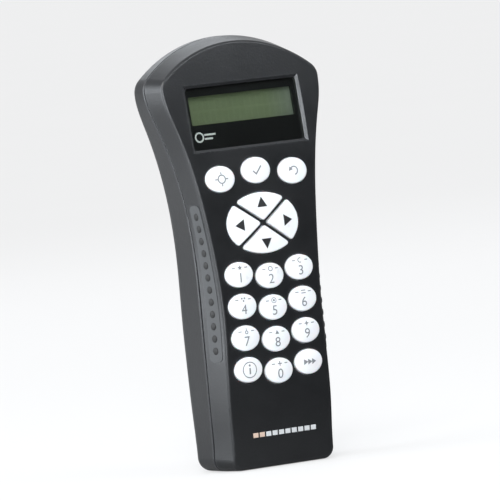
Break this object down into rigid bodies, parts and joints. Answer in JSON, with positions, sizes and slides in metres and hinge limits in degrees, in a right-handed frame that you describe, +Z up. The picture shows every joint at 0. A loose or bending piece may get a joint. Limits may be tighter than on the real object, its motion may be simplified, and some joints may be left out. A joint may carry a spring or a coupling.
{
  "type": "telescope hand controller",
  "caption": "Handheld keypad controller for a motorised telescope: tapered two-shell case with a curved front, display window, split oval arrow pad, oval keys and sockets in its end.",
  "frame": {"origin": "middle of the flat bottom end, on the left-right middle plane, 14 mm behind the most forward line of the front", "axes": "+Z up the handset towards its display end, -Y out of the front with the keys, +X to the right when you face the keys"},
  "size_m": [0.084, 0.0313, 0.184],
  "materials": {
    "case_plastic": "fine spark texture, near black",
    "key_plastic": "smooth, slightly glossy white",
    "grip_rubber": "matte with raised dots",
    "window": "clear acrylic, polished",
    "mask_ink": "black ink film",
    "bezel_steel": "blackened steel",
    "lcd_glass": "grey-green liquid crystal cell",
    "light_guide": "translucent, grey-green",
    "circuit_board": "green solder mask",
    "ribbon": "flat flexible cable",
    "mat_rubber": "translucent silicone",
    "red_lens": "red lens",
    "chip_black": "moulded epoxy",
    "capacitor_can": "plain can",
    "socket_plastic": "moulded black",
    "contact_metal": "gold plated",
    "screw_steel": "black-oxide steel",
    "label_film": "satin silver-grey film, unprinted",
    "carbon_rubber": "carbon-loaded"
  },
  "bodies": {
    "case": {"front_shell": "case_plastic", "rear_shell": "case_plastic", "grip_left": "grip_rubber", "grip_right": "grip_rubber", "display_window": "window", "window_mask": "mask_ink", "lcd_bezel": "bezel_steel", "lcd_glass": "lcd_glass", "lcd_light_guide": "light_guide", "lcd_board": "circuit_board", "lcd_ribbon": "ribbon", "main_board": "circuit_board", "key_mat": "mat_rubber", "key_lights": "red_lens", "chips": "chip_black", "capacitors": "capacitor_can", "cord_socket": "socket_plastic", "computer_socket": "socket_plastic", "socket_contacts": "contact_metal", "case_screws": "screw_steel", "board_screws": "screw_steel", "back_label": "label_film"},
    "align_key_body": {"align_key": "key_plastic", "align_key_contact": "carbon_rubber"},
    "enter_key_body": {"enter_key": "key_plastic", "enter_key_contact": "carbon_rubber"},
    "undo_key_body": {"undo_key": "key_plastic", "undo_key_contact": "carbon_rubber"},
    "arrow_up_key_body": {"arrow_up_key": "key_plastic", "arrow_up_key_contact": "carbon_rubber"},
    "arrow_down_key_body": {"arrow_down_key": "key_plastic", "arrow_down_key_contact": "carbon_rubber"},
    "arrow_left_key_body": {"arrow_left_key": "key_plastic", "arrow_left_key_contact": "carbon_rubber"},
    "arrow_right_key_body": {"arrow_right_key": "key_plastic", "arrow_right_key_contact": "carbon_rubber"},
    "info_key_body": {"info_key": "key_plastic", "info_key_contact": "carbon_rubber"},
    "key_0_body": {"key_0": "key_plastic", "key_0_contact": "carbon_rubber"},
    "rate_key_body": {"rate_key": "key_plastic", "rate_key_contact": "carbon_rubber"},
    "key_7_body": {"key_7": "key_plastic", "key_7_contact": "carbon_rubber"},
    "key_8_body": {"key_8": "key_plastic", "key_8_contact": "carbon_rubber"},
    "key_9_body": {"key_9": "key_plastic", "key_9_contact": "carbon_rubber"},
    "key_4_body": {"key_4": "key_plastic", "key_4_contact": "carbon_rubber"},
    "key_5_body": {"key_5": "key_plastic", "key_5_contact": "carbon_rubber"},
    "key_6_body": {"key_6": "key_plastic", "key_6_contact": "carbon_rubber"},
    "key_1_body": {"key_1": "key_plastic", "key_1_contact": "carbon_rubber"},
    "key_2_body": {"key_2": "key_plastic", "key_2_contact": "carbon_rubber"},
    "key_3_body": {"key_3": "key_plastic", "key_3_contact": "carbon_rubber"}
  },
  "joints": [
    {"name": "align_key_press", "type": "slide", "parent": "case", "child": "align_key_body", "axis": [0, 1, 0], "range_m": [0, 0.0012], "stiffness_N_per_m": 40},
    {"name": "enter_key_press", "type": "slide", "parent": "case", "child": "enter_key_body", "axis": [0, 1, 0], "range_m": [0, 0.0012], "stiffness_N_per_m": 40},
    {"name": "undo_key_press", "type": "slide", "parent": "case", "child": "undo_key_body", "axis": [0, 1, 0], "range_m": [0, 0.0012], "stiffness_N_per_m": 40},
    {"name": "arrow_up_key_press", "type": "slide", "parent": "case", "child": "arrow_up_key_body", "axis": [0, 1, 0], "range_m": [0, 0.0012], "stiffness_N_per_m": 40},
    {"name": "arrow_down_key_press", "type": "slide", "parent": "case", "child": "arrow_down_key_body", "axis": [0, 1, 0], "range_m": [0, 0.0012], "stiffness_N_per_m": 40},
    {"name": "arrow_left_key_press", "type": "slide", "parent": "case", "child": "arrow_left_key_body", "axis": [0, 1, 0], "range_m": [0, 0.0012], "stiffness_N_per_m": 40},
    {"name": "arrow_right_key_press", "type": "slide", "parent": "case", "child": "arrow_right_key_body", "axis": [0, 1, 0], "range_m": [0, 0.0012], "stiffness_N_per_m": 40},
    {"name": "info_key_press", "type": "slide", "parent": "case", "child": "info_key_body", "axis": [0, 1, 0], "range_m": [0, 0.0012], "stiffness_N_per_m": 40},
    {"name": "key_0_press", "type": "slide", "parent": "case", "child": "key_0_body", "axis": [0, 1, 0], "range_m": [0, 0.0012], "stiffness_N_per_m": 40},
    {"name": "rate_key_press", "type": "slide", "parent": "case", "child": "rate_key_body", "axis": [0, 1, 0], "range_m": [0, 0.0012], "stiffness_N_per_m": 40},
    {"name": "key_7_press", "type": "slide", "parent": "case", "child": "key_7_body", "axis": [0, 1, 0], "range_m": [0, 0.0012], "stiffness_N_per_m": 40},
    {"name": "key_8_press", "type": "slide", "parent": "case", "child": "key_8_body", "axis": [0, 1, 0], "range_m": [0, 0.0012], "stiffness_N_per_m": 40},
    {"name": "key_9_press", "type": "slide", "parent": "case", "child": "key_9_body", "axis": [0, 1, 0], "range_m": [0, 0.0012], "stiffness_N_per_m": 40},
    {"name": "key_4_press", "type": "slide", "parent": "case", "child": "key_4_body", "axis": [0, 1, 0], "range_m": [0, 0.0012], "stiffness_N_per_m": 40},
    {"name": "key_5_press", "type": "slide", "parent": "case", "child": "key_5_body", "axis": [0, 1, 0], "range_m": [0, 0.0012], "stiffness_N_per_m": 40},
    {"name": "key_6_press", "type": "slide", "parent": "case", "child": "key_6_body", "axis": [0, 1, 0], "range_m": [0, 0.0012], "stiffness_N_per_m": 40},
    {"name": "key_1_press", "type": "slide", "parent": "case", "child": "key_1_body", "axis": [0, 1, 0], "range_m": [0, 0.0012], "stiffness_N_per_m": 40},
    {"name": "key_2_press", "type": "slide", "parent": "case", "child": "key_2_body", "axis": [0, 1, 0], "range_m": [0, 0.0012], "stiffness_N_per_m": 40},
    {"name": "key_3_press", "type": "slide", "parent": "case", "child": "key_3_body", "axis": [0, 1, 0], "range_m": [0, 0.0012], "stiffness_N_per_m": 40}
  ]
}
